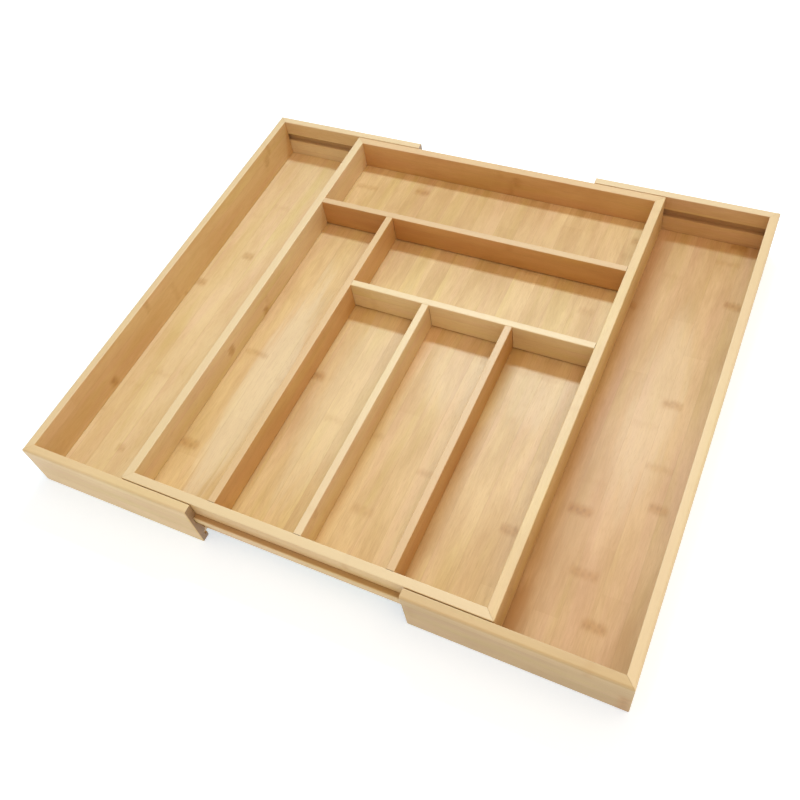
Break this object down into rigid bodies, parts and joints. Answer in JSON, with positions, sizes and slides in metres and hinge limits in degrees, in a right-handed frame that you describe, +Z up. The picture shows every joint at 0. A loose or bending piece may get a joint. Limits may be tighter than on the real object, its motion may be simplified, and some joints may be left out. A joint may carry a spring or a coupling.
{
  "type": "expandable drawer organizer insert",
  "caption": "Bamboo drawer organizer tray: a divided centre tray with a sliding U-shaped side tray at each end, on grooved arms.",
  "frame": {"origin": "on the ground, under the middle of the insert, with both side trays pulled out by the same amount", "axes": "+X along the sliding direction to the right, +Y to the rear, +Z up out of the compartments"},
  "size_m": [0.514, 0.45, 0.049],
  "materials": {
    "bamboo_wall": "satin clear-coated bamboo, grain along the board",
    "bamboo_arm": "satin clear-coated bamboo, grain along the board",
    "bamboo_divider": "satin clear-coated bamboo, grain along the board",
    "bamboo_panel": "satin clear-coated bamboo strips, running front to rear",
    "bamboo_rail": "plain sanded bamboo strip"
  },
  "bodies": {
    "center_tray": {"center_front_wall": "bamboo_wall", "center_rear_wall": "bamboo_wall", "center_left_wall": "bamboo_wall", "center_right_wall": "bamboo_wall", "center_base_panel": "bamboo_panel", "front_slide_rail": "bamboo_rail", "rear_slide_rail": "bamboo_rail", "rear_cross_divider": "bamboo_divider", "long_divider": "bamboo_divider", "middle_cross_divider": "bamboo_divider", "front_divider_left": "bamboo_divider", "front_divider_right": "bamboo_divider"},
    "left_tray": {"left_side_wall": "bamboo_arm", "left_front_arm": "bamboo_arm", "left_rear_arm": "bamboo_arm", "left_base_panel": "bamboo_panel"},
    "right_tray": {"right_side_wall": "bamboo_arm", "right_front_arm": "bamboo_arm", "right_rear_arm": "bamboo_arm", "right_base_panel": "bamboo_panel"}
  },
  "joints": [
    {"name": "left_slide", "type": "slide", "parent": "center_tray", "child": "left_tray", "axis": [-1, 0, 0], "range_m": [-0.09, 0.025]},
    {"name": "right_slide", "type": "slide", "parent": "center_tray", "child": "right_tray", "axis": [1, 0, 0], "range_m": [-0.09, 0.025]}
  ]
}
